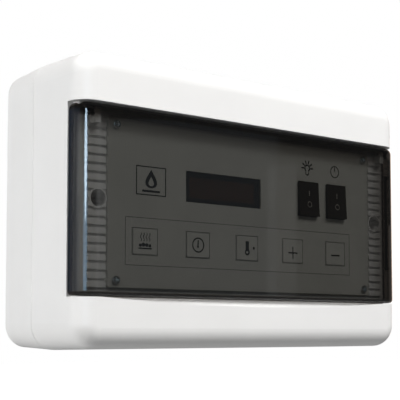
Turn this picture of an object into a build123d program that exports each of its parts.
from build123d import *
import os
from math import atan, degrees, radians, sin

# Wall-mounted control unit for an electric heater or kiln. All sizes are in millimetres.
# Frame: +X right, +Y into the wall, +Z up. The origin is the centre of the back mounting face.
# "Depth" below means the distance behind the front face, so y = depth - DEPTH.

# ---- Enclosure ----
WIDTH = 309.0             # at the wall and at the front face
HEIGHT = 200.0
DEPTH = 100.0
BOX_DEPTH = 40.0          # back box, from the wall to the seam
SEAM_FLARE = 1.4          # how far each side stands out at the seam
CORNER_R = 17.0           # corners seen from the front
EDGE_R = 14.0             # rounding between the front face and the sides
WALL = 3.0
SEAM_CHAMFER = 0.6
LIP_THICK = 1.5
LIP_HEIGHT = 3.0
LIP_GAP = 0.1

# ---- Door ----
DOOR_BOTTOM = -65.0
DOOR_TOP = 64.0
DOOR_WALL = 2.5
DOOR_EDGE_R = 12.0        # its two rounded vertical edges
FLANK_DEPTH = 14.6        # how far its sides reach back along the enclosure
HINGE_DEPTH = 5.5         # hinge axis behind the front face, and below the door's top edge
HINGE_PIN_R = 1.25
HINGE_BORE_R = 1.3
HINGE_PIN_SPAN = (136.9, 145.6)
HINGE_LUG_W = 4.4
HINGE_LUG_R = 2.6
DOOR_BOSS_R = 3.4
DOOR_LOW_EDGE_R = 3.0
BOTTOM_FLANGE = 9.4       # how far the door's bottom edge reaches back
DOOR_GAP = 0.7
STRIP_Z = (-36.0, 40.0)   # buffer strip on the inside of the door's right side
STRIP_X = (149.6, 151.1)
STRIP_Y = (-91.7, -89.9)
STRIP_STUD_R = 1.5
STRIP_STUD_END = 152.6    # the studs reach this far into the door's wall

# ---- Recessed band of the cover, under the door ----
FLOOR_DEPTH = 10.0
CORE_HALF = 151.2
CORE_R = 8.0
REBATE_DEPTH = 15.7
RIB_HEIGHT = 1.6
RIB_THICK = 3.2
RIB_PITCH = 6.0
RIB_SPAN = (128.6, 143.0)
RIB_COUNT = 19
RIB_CENTRE_Z = -3.5
CHANNEL_DEPTH = 11.6      # the floor is deeper where the door's top edge swings past
WELL_X = 135.0
WELL_Z = 0.7
WELL_R = 6.0
WELL_RING_R = 6.9         # the ring that stands up with the ribs
WELL_TUBE_R = 8.0
WELL_END = 56.0
FINGER_HALF = 137.0       # half the width of the finger recess below the door
FINGER_HIGH = 4.7         # its height in the middle
FINGER_DEPTH = 4.2        # how far it is let into the front

# ---- Face plate and what it carries ----
PANEL_Z = -0.9
PLATE_W = 256.0
PLATE_H = 117.2
PLATE_THICK = 2.0
OPENING_W = 232.0
OPENING_H = 97.0
PLATE_SCREW_X = 121.0
PLATE_SCREW_Z = 53.0
DISPLAY_X, DISPLAY_Z = -25.8, 14.8
DISPLAY_W, DISPLAY_H = 71.0, 22.4
SWITCH_XS = {"lamp": 58.5, "power": 89.0}
SWITCH_Z = 14.7
BEZEL_W, BEZEL_H, BEZEL_THICK = 21.0, 27.4, 0.8
SWITCH_W, SWITCH_H, SWITCH_DEEP = 19.0, 25.4, 16.0
SWITCH_WALL = 1.2
ROCKER_W, ROCKER_H = 20.6, 27.0
ROCKER_TILT = 3.0         # each way from level, so 6 degrees from one side to the other
ROCKER_UNDER, ROCKER_RIM, ROCKER_HOLLOW = 0.3, 0.9, 0.2
ROCKER_STEM_W, ROCKER_STEM_H, ROCKER_STEM_DEEP = 15.6, 11.0, 6.0
ROCKER_PIVOT_BEHIND = 3.0
ROCKER_STUB_R, ROCKER_BORE_R = 1.5, 1.55
KEY_NAMES = ("heater_key", "timer_key", "temperature_key", "plus_key", "minus_key")
KEYPAD_X, KEYPAD_Z = -4.2, -26.8
KEYPAD_W, KEYPAD_H, KEYPAD_THICK = 218.4, 33.2, 0.6
KEY_PITCH = 46.4
KEY_W, KEY_H = 20.3, 17.6
KEY_GAP = 0.25
KEY_PROUD = 0.4
KEY_REST_GAP = 0.05
KEY_FLANGE = (23.0, 20.4, 1.0)

# ---- Boards behind the face plate ----
BOARD_THICK = 1.6
LCD_BOARD_W, LCD_BOARD_H = 80.0, 36.0
LCD_BEZEL_W, LCD_BEZEL_H, LCD_BEZEL_DEEP = 71.2, 25.2, 5.6
LCD_GLASS_W, LCD_GLASS_H, LCD_GLASS_THICK = 66.0, 18.4, 2.8
LCD_HOLE_X, LCD_HOLE_Z = 37.5, 15.5
KEY_BOARD_W, KEY_BOARD_H = 216.0, 34.0
KEY_BOARD_GAP = 6.7
KEY_BOARD_HOLE_X, KEY_BOARD_HOLE_Z = 69.6, 13.0
TACT_SIZE, TACT_BODY, TACT_PLUNGER_R, TACT_HEIGHT = 6.2, 3.6, 1.75, 5.0
STANDOFF_R = 2.75

# ---- Back box ----
FIX_X, FIX_Z, FIX_R = 120.0, 75.0, 2.6        # wall screw holes
FIX_PAD_R, FIX_PAD = 6.5, 1.5
POST_R = 7.0
KNOCKOUT_R, KNOCKOUT_GROOVE, KNOCKOUT_SKIN = 10.0, 1.2, 1.1
KNOCKOUT_BOTTOM_XS = (-100.0, -60.0, -20.0, 20.0, 60.0, 100.0)
KNOCKOUT_TOP_XS = (-60.0, 0.0, 60.0)
KNOCKOUT_Y = -20.0

# ---- Control board, in the left of the back box ----
BOARD_X, BOARD_Z = -70.0, 6.0
BOARD_W, BOARD_H = 112.0, 112.0
BOARD_HOLE = 50.0
BOARD_STAND = 8.0
BOARD_POST_R = 3.5
TRANSFORMER_X, TRANSFORMER_Z = -98.0, 34.0
RELAY_XS, RELAY_Z = (-62.0, -43.0, -24.0), 36.0
RELAY_W, RELAY_H, RELAY_TALL = 15.5, 19.0, 15.5
CAPACITOR_XS, CAPACITOR_Z = (-110.0, -92.0), 0.0
CAPACITOR_R, CAPACITOR_TALL = 6.5, 25.0
CHIP_X, CHIP_Z, CHIP_SIZE = -50.0, 8.0, 12.0
HEADER_W, HEADER_H, HEADER_TALL = 25.0, 9.0, 9.0
HEADER_X, HEADER_Z = -40.0, -14.0
RIBBON_W, RIBBON_THICK = 20.0, 0.9
FUSE_X, FUSE_Z, FUSE_R, FUSE_LENGTH, FUSE_STAND = -92.0, -22.0, 2.6, 20.0, 6.0
MAINS_BLOCK = (-47.5, 6, 7.5)      # centre x, poles, pitch of the board's mains terminals
SENSOR_BLOCK = (-92.0, 6, 5.0)     # the same for the sensor terminals
BLOCK_Z, BLOCK_H, BLOCK_TALL = -43.5, 11.0, 12.0

# ---- Rail, contactor, terminals and earth bar, in the right of the back box ----
RAIL_Z, RAIL_X0, RAIL_X1 = 22.0, 3.0, 125.0
RAIL_PAD = 2.0
RAIL_W, RAIL_WEB_W, RAIL_DEEP, RAIL_SHEET = 35.0, 27.0, 7.5, 1.0
RAIL_SCREW_XS = (9.0, 119.5)
CONTACTOR_X, CONTACTOR_W, CONTACTOR_H = 41.0, 54.0, 81.0
CONTACTOR_BACK, CONTACTOR_SPLIT, CONTACTOR_FRONT = -7.0, -36.0, -60.0
SLIDER_W, SLIDER_H = 18.0, 22.0
SLIDER_GAP = 0.3
SLIDER_TRAVEL = 3.5
COIL_W, COIL_H, CORE_W, CORE_H = 30.0, 34.0, 13.0, 13.0
CORE_PLATE = 5.0
TERMINAL_X0, TERMINAL_PITCH, TERMINAL_COUNT = 76.0, 8.1, 5
TERMINAL_W, TERMINAL_H, TERMINAL_FRONT = 8.0, 44.0, -50.0
STOP_W, STOP_H = 6.0, 38.0
STOP_XS = (72.5, 119.7)
EARTH_X, EARTH_Z, EARTH_LENGTH, EARTH_SIZE = 70.0, -62.0, 90.0, 8.0
EARTH_STAND, EARTH_SCREWS, EARTH_PITCH = 10.0, 8, 9.0

# ---- Worked-out planes ----
FRONT = -DEPTH
SEAM = -BOX_DEPTH
FLOOR_Y = FRONT + FLOOR_DEPTH
PLATE_FRONT = FLOOR_Y - PLATE_THICK
PLATE_BACK = FLOOR_Y
BEZEL_FRONT = PLATE_FRONT - BEZEL_THICK
HINGE_Y = FRONT + HINGE_DEPTH
HINGE_Z = DOOR_TOP - HINGE_DEPTH
KEY_BOARD_FRONT = PLATE_BACK + KEY_BOARD_GAP
KEY_BOARD_BACK = KEY_BOARD_FRONT + BOARD_THICK
LCD_BOARD_FRONT = PLATE_BACK + LCD_BEZEL_DEEP
LCD_BOARD_BACK = LCD_BOARD_FRONT + BOARD_THICK
BOARD_BACK = -WALL - BOARD_STAND
BOARD_FRONT = BOARD_BACK - BOARD_THICK
RAIL_BACK = -WALL - RAIL_PAD
RAIL_FRONT = RAIL_BACK - RAIL_DEEP
WELL_SEAT_Y = FRONT + WELL_END - WALL
POST_FRONT = FRONT + WELL_END
EARTH_BACK = -WALL - EARTH_STAND
EARTH_FRONT = EARTH_BACK - EARTH_SIZE


# ---- Helpers ----
def block(x0, x1, y0, y1, z0, z1):
    """A box between two corners."""
    form = Box(abs(x1 - x0), abs(y1 - y0), abs(z1 - z0))
    return Pos((x0 + x1) / 2, (y0 + y1) / 2, (z0 + z1) / 2) * form


def slab(x, z, width, height, y0, y1):
    """A box centred on x and z, between two depths."""
    return block(x - width / 2, x + width / 2, y0, y1, z - height / 2, z + height / 2)


def rod_y(x, z, radius, y0, y1):
    """A cylinder along Y."""
    return Pos(x, (y0 + y1) / 2, z) * Rot(X=90) * Cylinder(radius, abs(y1 - y0))


def rod_x(y, z, radius, x0, x1):
    """A cylinder along X."""
    return Pos((x0 + x1) / 2, y, z) * Rot(Y=90) * Cylinder(radius, abs(x1 - x0))


def rod_z(x, y, radius, z0, z1):
    """A cylinder along Z."""
    return Pos(x, y, (z0 + z1) / 2) * Cylinder(radius, abs(z1 - z0))


def plane_at(y):
    """A plane that faces the front, with its own axes along X and Z."""
    return Plane(origin=(0, y, 0), x_dir=(1, 0, 0), z_dir=(0, -1, 0))


def rounded_slab(x, z, width, height, radius, y0, y1):
    """A slab with rounded corners, from y0 (back) forward to y1."""
    outline = plane_at(y0) * Pos(x, z) * RectangleRounded(width, height, radius)
    return extrude(outline, abs(y1 - y0))


def screw(head_r, head_h, shank_r, length):
    """A pan-head cross-recess screw along +Y, with the underside of its head at y = 0."""
    head = rod_y(0, 0, head_r, -head_h, 0)
    head = fillet(head.edges().sort_by(Axis.Y)[0], head_h * 0.45)
    arm = head_r * 0.55
    slot = head_r * 0.13
    recess = block(-arm, arm, -head_h, -head_h * 0.4, -slot, slot)
    recess += block(-slot, slot, -head_h, -head_h * 0.4, -arm, arm)
    return head - recess + rod_y(0, 0, shank_r, 0, length)


def place(shape, spots, turned=False):
    """Copies of a shape at (x, y, z) spots, as separate solids."""
    turn = Rot(Z=180) if turned else Rot()
    return Compound(children=[Pos(*spot) * turn * shape for spot in spots])


def corners(x, z, half_x, half_z, y):
    """The four (x, y, z) spots of a rectangle of fixings."""
    return [(x + i * half_x, y, z + k * half_z) for i in (-1, 1) for k in (-1, 1)]


def key_xs():
    """The centre x of each of the five keys."""
    return [KEYPAD_X + KEY_PITCH * (i - 2) for i in range(len(KEY_NAMES))]


def band(y0, y1, margin_low, margin_high):
    """A slab right across the enclosure over the door's height, grown by the margins."""
    far = WIDTH
    return block(-far, far, y0, y1, DOOR_BOTTOM - margin_low, DOOR_TOP + margin_high)


def envelope(direction, length, inset):
    """The outer form from the seam toward the front (-1) or the wall (1), drawn in by the inset."""
    run = DEPTH - BOX_DEPTH if direction < 0 else BOX_DEPTH
    width = WIDTH + 2 * SEAM_FLARE - 2 * inset
    height = HEIGHT + 2 * SEAM_FLARE - 2 * inset
    seam = Plane(origin=(0, SEAM, 0), x_dir=(1, 0, 0), z_dir=(0, direction, 0))
    outline = seam * RectangleRounded(width, height, CORNER_R + SEAM_FLARE - inset)
    return extrude(outline, length, taper=degrees(atan(SEAM_FLARE / run)))


def edges_at(shape, y):
    """The edges of a shape that lie in the plane y."""
    return shape.edges().filter_by_position(Axis.Y, y - 0.01, y + 0.01)


# ---- Enclosure ----
def wall_fixings(box):
    """Raised pads with the four wall-screw holes."""
    for x, _, z in corners(0, 0, FIX_X, FIX_Z, 0):
        box += rod_y(x, z, FIX_PAD_R, -WALL - FIX_PAD, -WALL)
        box -= rod_y(x, z, FIX_R, -WALL - FIX_PAD - 1, 1)
    return box


def knockout(x, side):
    """The ring-shaped groove that lets a cable entry be knocked out of the top or bottom wall."""
    skin = HEIGHT / 2 - WALL + SEAM_FLARE / 2 + KNOCKOUT_SKIN
    outer = HEIGHT / 2 + WALL
    ring = rod_z(x, KNOCKOUT_Y, KNOCKOUT_R + KNOCKOUT_GROOVE / 2, side * skin, side * outer)
    return ring - rod_z(x, KNOCKOUT_Y, KNOCKOUT_R - KNOCKOUT_GROOVE / 2, side * skin, side * outer)


def back_box():
    """The tray that is screwed to the wall, with the posts and pads that carry the inside."""
    box = envelope(1, BOX_DEPTH, 0)
    box = chamfer(edges_at(box, SEAM), SEAM_CHAMFER) + envelope(-1, LIP_HEIGHT, LIP_THICK)
    box -= envelope(1, BOX_DEPTH - WALL, WALL) + envelope(-1, LIP_HEIGHT + 1, WALL)
    box = wall_fixings(box)
    for x in (-WELL_X, WELL_X):
        box += rod_y(x, WELL_Z, POST_R, -WALL, POST_FRONT)
        box -= rod_y(x, WELL_Z, 2.0, -WALL - 12, POST_FRONT)
    for x, _, z in corners(BOARD_X, BOARD_Z, BOARD_HOLE, BOARD_HOLE, 0):
        box += rod_y(x, z, BOARD_POST_R, -WALL, BOARD_BACK)
        box -= rod_y(x, z, 1.5, -WALL, BOARD_BACK)
    for x in RAIL_SCREW_XS:
        box += slab(x, RAIL_Z, 12, RAIL_WEB_W - 5, -WALL, RAIL_BACK)
        box -= rod_y(x, RAIL_Z, 2.0, -1.0, RAIL_BACK)
    for x in earth_fixing_xs():
        box += slab(x, EARTH_Z, 7, EARTH_SIZE, -WALL, EARTH_BACK)
        box -= rod_y(x, EARTH_Z, 1.5, -WALL, EARTH_BACK)
    for x in KNOCKOUT_BOTTOM_XS:
        box -= knockout(x, -1)
    for x in KNOCKOUT_TOP_XS:
        box -= knockout(x, 1)
    return box


def core(half, depth, radius):
    """The part of the cover that stays behind the door: a block with rounded front corners."""
    form = block(-half, half, FRONT + depth, SEAM, -HEIGHT, HEIGHT)
    return fillet(form.edges().filter_by(Axis.Z).sort_by(Axis.Y)[:2], radius)


def cover_shell():
    """The hollow cover, with the band for the door pressed in and its floor behind it."""
    outer = envelope(-1, DEPTH - BOX_DEPTH, 0)
    outer = fillet(edges_at(outer, FRONT), EDGE_R)
    outer = chamfer(edges_at(outer, SEAM), SEAM_CHAMFER)
    rebate = band(FRONT - 1, FRONT + REBATE_DEPTH, DOOR_GAP, DOOR_GAP)
    outer -= rebate - core(CORE_HALF, FLOOR_DEPTH, CORE_R)
    inner = envelope(-1, DEPTH - BOX_DEPTH - WALL, WALL)
    inner = fillet(edges_at(inner, FRONT + WALL), EDGE_R - WALL)
    solid = band(FRONT - 1, FRONT + REBATE_DEPTH + WALL, DOOR_GAP + FINGER_HIGH + 2, DOOR_GAP + WALL)
    inner -= solid - core(CORE_HALF - WALL, FLOOR_DEPTH + WALL, CORE_R - WALL)
    return outer - inner


def finger_recess():
    """A shallow lens-shaped scoop below the door, where a finger lifts its edge."""
    edge = DOOR_BOTTOM - DOOR_GAP
    arc = ThreePointArc((-FINGER_HALF, edge), (0, edge - FINGER_HIGH), (FINGER_HALF, edge))
    lens = make_face([arc, Line((FINGER_HALF, edge), (-FINGER_HALF, edge))])
    return extrude(plane_at(FRONT + FINGER_DEPTH) * lens, FINGER_DEPTH + 1)


def rib_zs():
    """The centre heights of the ribs on the side strips."""
    return [RIB_CENTRE_Z + RIB_PITCH * (i - (RIB_COUNT - 1) / 2) for i in range(RIB_COUNT)]


def side_strip(cover, side):
    """Ribs, the ring of the screw well and the well itself on one side of the face plate."""
    x0, x1 = sorted((side * RIB_SPAN[0], side * RIB_SPAN[1]))
    for z in rib_zs():
        cover += slab((x0 + x1) / 2, z, x1 - x0, RIB_THICK, FLOOR_Y - RIB_HEIGHT, FLOOR_Y)
    x = side * WELL_X
    cover += rod_y(x, WELL_Z, WELL_RING_R, FLOOR_Y - RIB_HEIGHT, FLOOR_Y)
    cover += rod_y(x, WELL_Z, WELL_TUBE_R, FLOOR_Y, POST_FRONT)
    cover -= rod_y(x, WELL_Z, WELL_R, FLOOR_Y - RIB_HEIGHT, WELL_SEAT_Y)
    return cover - rod_y(x, WELL_Z, 2.0, WELL_SEAT_Y, POST_FRONT)


def hinge_lug(cover, side):
    """The hooked lug that holds one hinge pin. Its foot is below the path of the door's top edge."""
    x0, x1 = side * HINGE_PIN_SPAN[0], side * (HINGE_PIN_SPAN[0] + HINGE_LUG_W)
    cover += rod_x(HINGE_Y, HINGE_Z, HINGE_LUG_R, x0, x1)
    cover += block(x0, x1, HINGE_Y - HINGE_LUG_R, FLOOR_Y, HINGE_Z - 8.0, HINGE_Z - 2.2)
    return cover - rod_x(HINGE_Y, HINGE_Z, HINGE_PIN_R, x0, x1)


def front_cover():
    """The white cover, with its window for the face plate, side strips and hinge lugs."""
    cover = cover_shell()
    channel_top, channel_bottom = DOOR_TOP + DOOR_GAP, PANEL_Z + PLATE_H / 2 + 0.1
    cover -= block(-CORE_HALF, CORE_HALF, FLOOR_Y, FRONT + CHANNEL_DEPTH, channel_bottom, channel_top)
    for side in (-1, 1):
        cover = side_strip(cover, side)
        cover = hinge_lug(cover, side)
    for x, _, z in corners(0, PANEL_Z, PLATE_SCREW_X, PLATE_SCREW_Z, 0):
        cover += rod_y(x, z, 4.0, FLOOR_Y, FLOOR_Y + 10)
        cover -= rod_y(x, z, 1.5, FLOOR_Y, FLOOR_Y + 9)
    cover -= slab(0, PANEL_Z, OPENING_W, OPENING_H, FLOOR_Y - 1, FLOOR_Y + WALL)
    cover -= finger_recess()
    return cover - envelope(-1, LIP_HEIGHT + LIP_GAP, LIP_THICK - LIP_GAP)


def cover_screws():
    """The two screws at the bottom of the wells."""
    pattern = [(x, WELL_SEAT_Y, WELL_Z) for x in (-WELL_X, WELL_X)]
    return place(screw(4.2, 3.2, 2.0, 24.0), pattern)


# ---- Door ----
def strip_stud(z):
    """One of the two studs that hold the buffer strip in the door's wall."""
    return rod_x(sum(STRIP_Y) / 2, z, STRIP_STUD_R, STRIP_X[0], STRIP_STUD_END)


def door_buffer_strip():
    """The black strip along the inside of the door's right side, with a stud at each end."""
    low, high = STRIP_Z
    return block(*STRIP_X, *STRIP_Y, low, high) + strip_stud(low) + strip_stud(high)


def hinge_boss(side):
    """The bored boss of the door that turns on one hinge pin."""
    x0 = side * (HINGE_PIN_SPAN[0] + HINGE_LUG_W + 0.3)
    x1 = side * (WIDTH / 2 - DOOR_WALL)
    return rod_x(HINGE_Y, HINGE_Z, DOOR_BOSS_R, x0, x1)


def door():
    """The smoked door: a shallow tray that also covers both sides of the enclosure."""
    half = WIDTH / 2
    form = block(-half, half, FRONT, FRONT + FLANK_DEPTH, DOOR_BOTTOM, DOOR_TOP)
    form = fillet(form.edges().filter_by(Axis.Z).sort_by(Axis.Y)[:2], DOOR_EDGE_R)
    form = fillet(edges_at(form, FRONT).sort_by(Axis.Z)[0], DOOR_LOW_EDGE_R)
    form = fillet(edges_at(form, FRONT).sort_by(Axis.Z)[-1], HINGE_DEPTH)
    limit = half - DOOR_WALL
    space = block(-limit, limit, FRONT + DOOR_WALL, 0, DOOR_BOTTOM + DOOR_WALL, DOOR_TOP - DOOR_WALL)
    space = fillet(space.edges().filter_by(Axis.Z).sort_by(Axis.Y)[:2], DOOR_EDGE_R - DOOR_WALL)
    tray = form - space
    tray -= block(-limit, limit, HINGE_Y, 0, 0, DOOR_TOP + 1)
    tray -= block(-limit, limit, FRONT + BOTTOM_FLANGE, 0, DOOR_BOTTOM - 1, 0)
    for side in (-1, 1):
        tray += hinge_boss(side) & form
    for z in STRIP_Z:
        tray -= strip_stud(z)
    reach = HINGE_PIN_SPAN[1] + 0.3
    return tray - rod_x(HINGE_Y, HINGE_Z, HINGE_BORE_R, -reach, reach)


def hinge_pins():
    """The two steel pins that the door turns on."""
    x0, x1 = HINGE_PIN_SPAN
    return Compound(children=[rod_x(HINGE_Y, HINGE_Z, HINGE_PIN_R, s * x0, s * x1) for s in (-1, 1)])


# ---- Face plate ----
def face_plate():
    """The grey plate that carries the display, the switches and the keys."""
    plate = rounded_slab(0, PANEL_Z, PLATE_W, PLATE_H, 2.0, PLATE_BACK, PLATE_FRONT)
    plate = chamfer(edges_at(plate, PLATE_FRONT), 0.6)
    plate -= slab(DISPLAY_X, DISPLAY_Z, DISPLAY_W, DISPLAY_H, PLATE_FRONT - 1, PLATE_BACK + 1)
    for x in SWITCH_XS.values():
        plate -= slab(x, SWITCH_Z, SWITCH_W, SWITCH_H, PLATE_FRONT - 1, PLATE_BACK + 1)
    plate -= slab(KEYPAD_X, KEYPAD_Z, KEYPAD_W, KEYPAD_H, PLATE_FRONT - 1, PLATE_FRONT + KEYPAD_THICK)
    plate -= key_holes()
    for x, _, z in corners(0, PANEL_Z, PLATE_SCREW_X, PLATE_SCREW_Z, 0):
        plate -= rod_y(x, z, 1.5, PLATE_FRONT - 1, PLATE_BACK + 1)
    return plate


def key_holes():
    """The five holes that the keys come through."""
    width, height = KEY_W + 2 * KEY_GAP, KEY_H + 2 * KEY_GAP
    holes = [slab(x, KEYPAD_Z, width, height, PLATE_FRONT - 1, PLATE_BACK + 1) for x in key_xs()]
    return Part() + holes


def keypad_overlay():
    """The thin frame around the keys, let into the face plate."""
    sheet = slab(KEYPAD_X, KEYPAD_Z, KEYPAD_W, KEYPAD_H, PLATE_FRONT, PLATE_FRONT + KEYPAD_THICK)
    return sheet - key_holes()


def key(x):
    """One key: a cap with softened edges and a flange that stops behind the plate."""
    top = PLATE_FRONT - KEY_PROUD
    stop = PLATE_BACK + KEY_REST_GAP
    cap = rounded_slab(x, KEYPAD_Z, KEY_W, KEY_H, 0.8, stop, top)
    cap = fillet(edges_at(cap, top), 0.25)
    width, height, thick = KEY_FLANGE
    return cap + slab(x, KEYPAD_Z, width, height, stop, stop + thick)


def face_plate_screws():
    """The four corner screws of the face plate."""
    return place(screw(3.0, 1.8, 1.5, 10.0), corners(0, PANEL_Z, PLATE_SCREW_X, PLATE_SCREW_Z, PLATE_FRONT))


def display_window():
    """The tinted pane in front of the display."""
    return slab(DISPLAY_X, DISPLAY_Z, DISPLAY_W, DISPLAY_H, PLATE_FRONT, PLATE_BACK)


# ---- Rocker switches ----
def switch_housing(x):
    """The black housing of a rocker switch, snapped into the plate from the front."""
    back = PLATE_FRONT + SWITCH_DEEP
    shell = rounded_slab(x, SWITCH_Z, BEZEL_W, BEZEL_H, 1.0, PLATE_FRONT, BEZEL_FRONT)
    shell += slab(x, SWITCH_Z, SWITCH_W, SWITCH_H, PLATE_FRONT, back)
    inside_w, inside_h = SWITCH_W - 2 * SWITCH_WALL, SWITCH_H - 2 * SWITCH_WALL
    shell -= slab(x, SWITCH_Z, inside_w, inside_h, BEZEL_FRONT - 1, back - SWITCH_WALL)
    pivot_y = BEZEL_FRONT + ROCKER_PIVOT_BEHIND
    return shell - rod_x(pivot_y, SWITCH_Z, ROCKER_BORE_R, x - SWITCH_W / 2, x + SWITCH_W / 2)


def rocker(x):
    """A rocker with its upper end pressed. It is drawn level, then tilted about its pivot."""
    half = ROCKER_H / 2
    side = ROCKER_UNDER + half * sin(radians(ROCKER_TILT))
    top = side + ROCKER_RIM
    # Side view: (z, height in front of the bezel), with a slightly hollow face and a blunt V below.
    outline = [
        ThreePointArc((-half, top), (0, top - ROCKER_HOLLOW), (half, top)),
        Line((half, top), (half, side)),
        Line((half, side), (0, ROCKER_UNDER)),
        Line((0, ROCKER_UNDER), (-half, side)),
        Line((-half, side), (-half, top)),
    ]
    side_view = Plane(origin=(x - ROCKER_W / 2, BEZEL_FRONT, SWITCH_Z), x_dir=(0, 0, 1), z_dir=(1, 0, 0))
    cap = extrude(side_view * make_face(outline), ROCKER_W)
    cap = chamfer(cap.edges().filter_by(Axis.X).sort_by(Axis.Y)[:2], 0.35)
    stem_front, stem_back = BEZEL_FRONT - ROCKER_UNDER - 0.2, BEZEL_FRONT + ROCKER_STEM_DEEP
    stem = slab(x, SWITCH_Z, ROCKER_STEM_W, ROCKER_STEM_H, stem_front, stem_back)
    pivot_y = BEZEL_FRONT + ROCKER_PIVOT_BEHIND
    reach = SWITCH_W / 2 - 0.1
    body = cap + stem + rod_x(pivot_y, SWITCH_Z, ROCKER_STUB_R, x - reach, x + reach)
    tilt = Pos(x, pivot_y, SWITCH_Z) * Rot(X=-ROCKER_TILT) * Pos(-x, -pivot_y, -SWITCH_Z)
    return tilt * body


def switch_terminals():
    """Four flat tabs behind each rocker switch."""
    back = PLATE_FRONT + SWITCH_DEEP
    tabs = []
    for x in SWITCH_XS.values():
        for dx in (-4.8, 4.8):
            for dz in (-6.5, 6.5):
                tabs.append(slab(x + dx, SWITCH_Z + dz, 0.8, 6.3, back, back + 8.0))
    return Compound(children=tabs)


# ---- Display module ----
def lcd_bezel():
    """The metal frame of the display module."""
    front, back = PLATE_BACK, LCD_BOARD_FRONT
    frame = slab(DISPLAY_X, DISPLAY_Z, LCD_BEZEL_W, LCD_BEZEL_H, front, back)
    frame -= slab(DISPLAY_X, DISPLAY_Z, LCD_GLASS_W - 4, LCD_GLASS_H - 3, front - 1, front + 1)
    return frame - slab(DISPLAY_X, DISPLAY_Z, LCD_GLASS_W, LCD_GLASS_H, front + 0.8, back)


def lcd_glass():
    """The liquid-crystal cell inside its frame."""
    front = PLATE_BACK + 0.8
    return slab(DISPLAY_X, DISPLAY_Z, LCD_GLASS_W, LCD_GLASS_H, front, front + LCD_GLASS_THICK)


def lcd_board():
    """The display module's circuit board."""
    board = slab(DISPLAY_X, DISPLAY_Z, LCD_BOARD_W, LCD_BOARD_H, LCD_BOARD_FRONT, LCD_BOARD_BACK)
    for x, _, z in corners(DISPLAY_X, DISPLAY_Z, LCD_HOLE_X, LCD_HOLE_Z, 0):
        board -= rod_y(x, z, 1.25, LCD_BOARD_FRONT - 1, LCD_BOARD_BACK + 1)
    return board


def standoff(radius, bore, length):
    """A round spacer along +Y, bored from its far end."""
    return rod_y(0, 0, radius, 0, length) - rod_y(0, 0, bore, 1.0, length)


def lcd_standoffs():
    """Four spacers between the face plate and the display board."""
    spots = corners(DISPLAY_X, DISPLAY_Z, LCD_HOLE_X, LCD_HOLE_Z, PLATE_BACK)
    return place(standoff(2.0, 1.25, LCD_BEZEL_DEEP), spots)


def lcd_screws():
    """The screws that hold the display board, driven from behind."""
    spots = corners(DISPLAY_X, DISPLAY_Z, LCD_HOLE_X, LCD_HOLE_Z, LCD_BOARD_BACK)
    return place(screw(2.3, 1.6, 1.25, 5.5), spots, turned=True)


# ---- Key board ----
def key_board():
    """The circuit board behind the keys."""
    board = slab(KEYPAD_X, KEYPAD_Z, KEY_BOARD_W, KEY_BOARD_H, KEY_BOARD_FRONT, KEY_BOARD_BACK)
    for x, _, z in corners(KEYPAD_X, KEYPAD_Z, KEY_BOARD_HOLE_X, KEY_BOARD_HOLE_Z, 0):
        board -= rod_y(x, z, 1.5, KEY_BOARD_FRONT - 1, KEY_BOARD_BACK + 1)
    return board


def key_switches():
    """One push switch behind each key."""
    front = KEY_BOARD_FRONT
    switches = []
    for x in key_xs():
        body = slab(x, KEYPAD_Z, TACT_SIZE, TACT_SIZE, front - TACT_BODY, front)
        switches.append(body + rod_y(x, KEYPAD_Z, TACT_PLUNGER_R, front - TACT_HEIGHT, front - TACT_BODY))
    return Compound(children=switches)


def key_board_standoffs():
    """Four spacers between the face plate and the key board."""
    spots = corners(KEYPAD_X, KEYPAD_Z, KEY_BOARD_HOLE_X, KEY_BOARD_HOLE_Z, PLATE_BACK)
    return place(standoff(STANDOFF_R, 1.5, KEY_BOARD_GAP), spots)


def key_board_screws():
    """The screws that hold the key board, driven from behind."""
    spots = corners(KEYPAD_X, KEYPAD_Z, KEY_BOARD_HOLE_X, KEY_BOARD_HOLE_Z, KEY_BOARD_BACK)
    return place(screw(2.7, 1.8, 1.5, 6.5), spots, turned=True)


# ---- Control board ----
def control_board():
    """The main circuit board on its four posts."""
    board = slab(BOARD_X, BOARD_Z, BOARD_W, BOARD_H, BOARD_FRONT, BOARD_BACK)
    for x, _, z in corners(BOARD_X, BOARD_Z, BOARD_HOLE, BOARD_HOLE, 0):
        board -= rod_y(x, z, 1.5, BOARD_FRONT - 1, BOARD_BACK + 1)
    return board


def control_board_screws():
    """The four screws of the control board."""
    spots = corners(BOARD_X, BOARD_Z, BOARD_HOLE, BOARD_HOLE, BOARD_FRONT)
    return place(screw(2.8, 2.0, 1.5, BOARD_THICK + BOARD_STAND - 1), spots)


def transformer():
    """The mains transformer: a wound bobbin in a laminated core."""
    core_block = slab(TRANSFORMER_X, TRANSFORMER_Z, 42.0, 36.0, BOARD_FRONT - 28.0, BOARD_FRONT - 4.0)
    winding = slab(TRANSFORMER_X, TRANSFORMER_Z, 28.0, 30.0, BOARD_FRONT - 33.0, BOARD_FRONT)
    winding = fillet(winding.edges().filter_by(Axis.Y), 3.0)
    return core_block + winding


def relays():
    """Three power relays in a row."""
    cans = []
    for x in RELAY_XS:
        can = slab(x, RELAY_Z, RELAY_W, RELAY_H, BOARD_FRONT - RELAY_TALL, BOARD_FRONT)
        cans.append(chamfer(edges_at(can, BOARD_FRONT - RELAY_TALL), 0.6))
    return Compound(children=cans)


def capacitors():
    """Two upright electrolytic capacitors."""
    cans = []
    for x in CAPACITOR_XS:
        can = rod_y(x, CAPACITOR_Z, CAPACITOR_R, BOARD_FRONT - CAPACITOR_TALL, BOARD_FRONT)
        cans.append(fillet(edges_at(can, BOARD_FRONT - CAPACITOR_TALL), 0.8))
    return Compound(children=cans)


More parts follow.
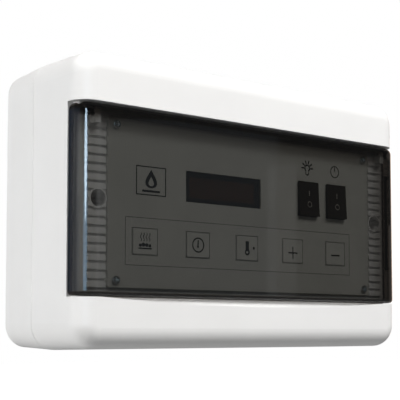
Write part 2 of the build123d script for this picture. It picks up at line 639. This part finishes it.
def microcontroller():
    """The controller chip, flat on the board."""
    return slab(CHIP_X, CHIP_Z, CHIP_SIZE, CHIP_SIZE, BOARD_FRONT - 1.4, BOARD_FRONT)


def fuse_holder():
    """Two open clips on a base for a glass fuse."""
    axis_y = BOARD_FRONT - FUSE_STAND
    base = slab(FUSE_X, FUSE_Z, 24.0, 8.0, BOARD_FRONT - 2.0, BOARD_FRONT)
    for dx in (-8.0, 8.0):
        base += slab(FUSE_X + dx, FUSE_Z, 5.0, 8.0, axis_y - 0.5, BOARD_FRONT)
    return base - rod_x(axis_y, FUSE_Z, FUSE_R, FUSE_X - 12.0, FUSE_X + 12.0)


def fuse_link():
    """The glass fuse in its clips."""
    half = FUSE_LENGTH / 2
    return rod_x(BOARD_FRONT - FUSE_STAND, FUSE_Z, FUSE_R, FUSE_X - half, FUSE_X + half)


def pole_xs(centre, poles, pitch):
    """The centre x of each pole of a terminal block."""
    return [centre + pitch * (i - (poles - 1) / 2) for i in range(poles)]


def terminal_block(centre, poles, pitch):
    """A board terminal block with a wire mouth below and a screw shaft in front of each pole."""
    front = BOARD_FRONT - BLOCK_TALL
    block_form = slab(centre, BLOCK_Z, poles * pitch, BLOCK_H, front, BOARD_FRONT)
    mouth = pitch * 0.62
    for x in pole_xs(centre, poles, pitch):
        block_form -= slab(x, BLOCK_Z - BLOCK_H / 2, mouth, 7.0, front + 5.0, front + 5.0 + mouth)
        block_form -= rod_y(x, BLOCK_Z + 1.0, pitch * 0.3, front - 1, front + 3.0)
    return block_form


def terminal_screws(centre, poles, pitch):
    """The clamping screws of a board terminal block."""
    front = BOARD_FRONT - BLOCK_TALL
    heads = []
    for x in pole_xs(centre, poles, pitch):
        head = rod_y(x, BLOCK_Z + 1.0, pitch * 0.3, front + 1.2, front + 3.0)
        slot = slab(x, BLOCK_Z + 1.0, pitch, 0.6, front + 1.0, front + 1.9)
        heads.append(head - slot)
    return Compound(children=heads)


def ribbon_headers():
    """The two sockets of the ribbon cable, on the control board and on the key board."""
    low = slab(HEADER_X, HEADER_Z, HEADER_W, HEADER_H, BOARD_FRONT - HEADER_TALL, BOARD_FRONT)
    high = slab(HEADER_X, KEYPAD_Z, HEADER_W, HEADER_H, KEY_BOARD_BACK, KEY_BOARD_BACK + HEADER_TALL)
    return Compound(children=[low, high])


def ribbon_cable():
    """The flat cable between the two sockets, in an easy S bend."""
    start = (HEADER_X, BOARD_FRONT - HEADER_TALL, HEADER_Z)
    end = (HEADER_X, KEY_BOARD_BACK + HEADER_TALL, KEYPAD_Z)
    path = Spline(start, end, tangents=[(0, -1, 0), (0, -1, 0)])
    section = plane_at(start[1]) * Pos(HEADER_X, HEADER_Z) * Rectangle(RIBBON_W, RIBBON_THICK)
    return sweep(section, path=path)


# ---- Rail and what hangs on it ----
def din_rail():
    """A top-hat rail, drawn as its section and run along X."""
    half, web = RAIL_W / 2, RAIL_WEB_W / 2
    middle, length = (RAIL_X0 + RAIL_X1) / 2, RAIL_X1 - RAIL_X0
    rail = slab(middle, RAIL_Z, length, 2 * web, RAIL_FRONT, RAIL_BACK)
    rail -= slab(middle, RAIL_Z, 2 * length, 2 * (web - RAIL_SHEET), RAIL_FRONT - 1, RAIL_BACK - RAIL_SHEET)
    for side in (-1, 1):
        z = RAIL_Z + side * (half + web - RAIL_SHEET) / 2
        rail += slab(middle, z, length, half - web + RAIL_SHEET, RAIL_FRONT, RAIL_FRONT + RAIL_SHEET)
    for x in RAIL_SCREW_XS:
        rail -= rod_y(x, RAIL_Z, 2.0, RAIL_BACK - RAIL_SHEET - 1, RAIL_BACK + 1)
    return rail


def din_rail_screws():
    """The two screws of the rail."""
    spots = [(x, RAIL_BACK - RAIL_SHEET, RAIL_Z) for x in RAIL_SCREW_XS]
    return place(screw(3.8, 2.4, 2.0, 4.8), spots)


def rail_slot(x, width):
    """The space that the rail takes at the back of a device."""
    return slab(x, RAIL_Z, width + 2, RAIL_W + 0.4, RAIL_FRONT, 0)


def contactor_base():
    """The rear half of the contactor, with room for its magnet."""
    base = slab(CONTACTOR_X, RAIL_Z, CONTACTOR_W, CONTACTOR_H, CONTACTOR_SPLIT, CONTACTOR_BACK)
    base -= rail_slot(CONTACTOR_X, CONTACTOR_W)
    return base - slab(CONTACTOR_X, RAIL_Z, COIL_W + 1, COIL_H + 1, CONTACTOR_SPLIT, RAIL_FRONT - WALL)


def contactor_pole_xs():
    """The centre x of the contactor's four poles."""
    return pole_xs(CONTACTOR_X, 4, 12.0)


def contactor_housing():
    """The front half of the contactor, with its slider window and terminal shafts."""
    low, high = CONTACTOR_SPLIT, CONTACTOR_FRONT
    front = slab(CONTACTOR_X, RAIL_Z, CONTACTOR_W, CONTACTOR_H - 30, high, low)
    front += slab(CONTACTOR_X, RAIL_Z, CONTACTOR_W, CONTACTOR_H, high + 9, low)
    window_w, window_h = SLIDER_W + 2 * SLIDER_GAP, SLIDER_H + 2 * SLIDER_GAP
    front -= slab(CONTACTOR_X, RAIL_Z, window_w, window_h, high - 1, low + 1)
    front -= slab(CONTACTOR_X, RAIL_Z, COIL_W + 1, COIL_H + 1, low - 10, low + 1)
    for x in contactor_pole_xs():
        for side in (-1, 1):
            z = RAIL_Z + side * (CONTACTOR_H / 2 - 8)
            front -= rod_y(x, z, 3.0, high + 8, high + 13)
            front -= slab(x, RAIL_Z + side * CONTACTOR_H / 2, 7.0, 8.0, high + 14, high + 20)
    return front


def contactor_screws():
    """The eight terminal screws of the contactor."""
    heads = []
    for x in contactor_pole_xs():
        for side in (-1, 1):
            z = RAIL_Z + side * (CONTACTOR_H / 2 - 8)
            head = rod_y(x, z, 3.0, CONTACTOR_FRONT + 10.5, CONTACTOR_FRONT + 13)
            heads.append(head - slab(x, z, 7.0, 0.8, CONTACTOR_FRONT + 10, CONTACTOR_FRONT + 11.6))
    return Compound(children=heads)


def contactor_coil():
    """The coil that pulls the slider in."""
    back = RAIL_FRONT - WALL - CORE_PLATE
    coil = slab(CONTACTOR_X, RAIL_Z, COIL_W, COIL_H, CONTACTOR_SPLIT, back)
    coil = fillet(coil.edges().filter_by(Axis.Y), 3.0)
    return coil - slab(CONTACTOR_X, RAIL_Z, CORE_W, CORE_H, CONTACTOR_SPLIT - 1, back + 1)


def contactor_core():
    """The fixed iron core: a plate behind the coil and a pole inside it."""
    back = RAIL_FRONT - WALL
    plate = slab(CONTACTOR_X, RAIL_Z, COIL_W, COIL_H, back - CORE_PLATE, back)
    return plate + slab(CONTACTOR_X, RAIL_Z, CORE_W, CORE_H, back - CORE_PLATE - 10, back - CORE_PLATE)


def contactor_slider():
    """The moving armature and the contact carrier that shows in the window."""
    carrier = slab(CONTACTOR_X, RAIL_Z, SLIDER_W, SLIDER_H, CONTACTOR_FRONT + 1, CONTACTOR_SPLIT - 5)
    armature_back = CONTACTOR_SPLIT - SLIDER_TRAVEL - 0.5
    armature = slab(CONTACTOR_X, RAIL_Z, COIL_W - 2, COIL_H - 2, armature_back - 5, armature_back)
    return carrier + armature


def supply_terminals():
    """Five rail terminals for the supply, side by side."""
    blocks = []
    for i in range(TERMINAL_COUNT):
        x = TERMINAL_X0 + TERMINAL_PITCH * (i + 0.5)
        form = slab(x, RAIL_Z, TERMINAL_W, TERMINAL_H, TERMINAL_FRONT + 8, CONTACTOR_BACK)
        form += slab(x, RAIL_Z, TERMINAL_W, 16.0, TERMINAL_FRONT, TERMINAL_FRONT + 9)
        form -= rail_slot(x, TERMINAL_W)
        for side in (-1, 1):
            form -= rod_y(x, RAIL_Z + side * 14.5, 2.6, TERMINAL_FRONT + 7, TERMINAL_FRONT + 14)
            mouth_z = RAIL_Z + side * TERMINAL_H / 2
            form -= slab(x, mouth_z, 5.0, 10.0, TERMINAL_FRONT + 16, TERMINAL_FRONT + 22)
        blocks.append(form)
    return Compound(children=blocks)


def supply_terminal_screws():
    """The clamping screws of the rail terminals."""
    heads = []
    for i in range(TERMINAL_COUNT):
        x = TERMINAL_X0 + TERMINAL_PITCH * (i + 0.5)
        for side in (-1, 1):
            z = RAIL_Z + side * 14.5
            head = rod_y(x, z, 2.6, TERMINAL_FRONT + 11, TERMINAL_FRONT + 14)
            heads.append(head - slab(x, z, 6.0, 0.7, TERMINAL_FRONT + 10, TERMINAL_FRONT + 12))
    return Compound(children=heads)


def rail_end_stops():
    """Two clamps that keep the terminals together on the rail."""
    stops = []
    for x in STOP_XS:
        stop = slab(x, RAIL_Z, STOP_W, STOP_H, TERMINAL_FRONT + 15, CONTACTOR_BACK - 2)
        stops.append(stop - rail_slot(x, STOP_W))
    return Compound(children=stops)


# ---- Earth bar ----
def earth_fixing_xs():
    """The two ends of the earth bar, where it is fastened."""
    reach = EARTH_LENGTH / 2 - 4
    return (EARTH_X - reach, EARTH_X + reach)


def earth_screw_xs():
    """The clamping screws along the earth bar."""
    return pole_xs(EARTH_X, EARTH_SCREWS, EARTH_PITCH)


def earth_bar():
    """The brass bar for the earth wires, with a cross hole and a screw for each."""
    bar = slab(EARTH_X, EARTH_Z, EARTH_LENGTH, EARTH_SIZE, EARTH_FRONT, EARTH_BACK)
    hole_y = (EARTH_FRONT + EARTH_BACK) / 2 + 1.0
    for x in earth_screw_xs():
        bar -= rod_z(x, hole_y, 2.2, EARTH_Z - EARTH_SIZE, EARTH_Z + EARTH_SIZE)
        bar -= rod_y(x, EARTH_Z, 1.75, EARTH_FRONT - 1, EARTH_FRONT + 4)
    for x in earth_fixing_xs():
        bar -= rod_y(x, EARTH_Z, 1.5, EARTH_FRONT - 1, EARTH_BACK + 1)
    return bar


def earth_bar_screws():
    """The clamping screws and the two fixing screws of the earth bar."""
    clamp = screw(3.0, 2.2, 1.75, 3.0)
    fixing = screw(2.8, 2.0, 1.5, EARTH_SIZE + EARTH_STAND - 1)
    parts = [Pos(x, EARTH_FRONT, EARTH_Z) * clamp for x in earth_screw_xs()]
    parts += [Pos(x, EARTH_FRONT, EARTH_Z) * fixing for x in earth_fixing_xs()]
    return Compound(children=parts)


NODES = {
    "back_box": back_box,
    "front_cover": front_cover,
    "cover_screws": cover_screws,
    "door": door,
    "door_buffer_strip": door_buffer_strip,
    "hinge_pins": hinge_pins,
    "face_plate": face_plate,
    "face_plate_screws": face_plate_screws,
    "keypad_overlay": keypad_overlay,
    "display_window": display_window,
    "lcd_bezel": lcd_bezel,
    "lcd_glass": lcd_glass,
    "lcd_board": lcd_board,
    "lcd_standoffs": lcd_standoffs,
    "lcd_screws": lcd_screws,
    "key_board": key_board,
    "key_switches": key_switches,
    "key_board_standoffs": key_board_standoffs,
    "key_board_screws": key_board_screws,
    "switch_terminals": switch_terminals,
    "control_board": control_board,
    "control_board_screws": control_board_screws,
    "transformer": transformer,
    "relays": relays,
    "capacitors": capacitors,
    "microcontroller": microcontroller,
    "fuse_holder": fuse_holder,
    "fuse_link": fuse_link,
    "mains_terminal_block": lambda: terminal_block(*MAINS_BLOCK),
    "mains_terminal_screws": lambda: terminal_screws(*MAINS_BLOCK),
    "sensor_terminal_block": lambda: terminal_block(*SENSOR_BLOCK),
    "sensor_terminal_screws": lambda: terminal_screws(*SENSOR_BLOCK),
    "ribbon_headers": ribbon_headers,
    "ribbon_cable": ribbon_cable,
    "din_rail": din_rail,
    "din_rail_screws": din_rail_screws,
    "contactor_base": contactor_base,
    "contactor_housing": contactor_housing,
    "contactor_screws": contactor_screws,
    "contactor_coil": contactor_coil,
    "contactor_core": contactor_core,
    "contactor_slider": contactor_slider,
    "supply_terminals": supply_terminals,
    "supply_terminal_screws": supply_terminal_screws,
    "rail_end_stops": rail_end_stops,
    "earth_bar": earth_bar,
    "earth_bar_screws": earth_bar_screws,
}


def main():
    os.makedirs("parts", exist_ok=True)
    for name, make in NODES.items():
        export_step(make(), f"parts/{name}.step")
    for name, x in SWITCH_XS.items():
        export_step(switch_housing(x), f"parts/{name}_switch_housing.step")
        export_step(rocker(x), f"parts/{name}_rocker.step")
    for name, x in zip(KEY_NAMES, key_xs()):
        export_step(key(x), f"parts/{name}.step")


main()
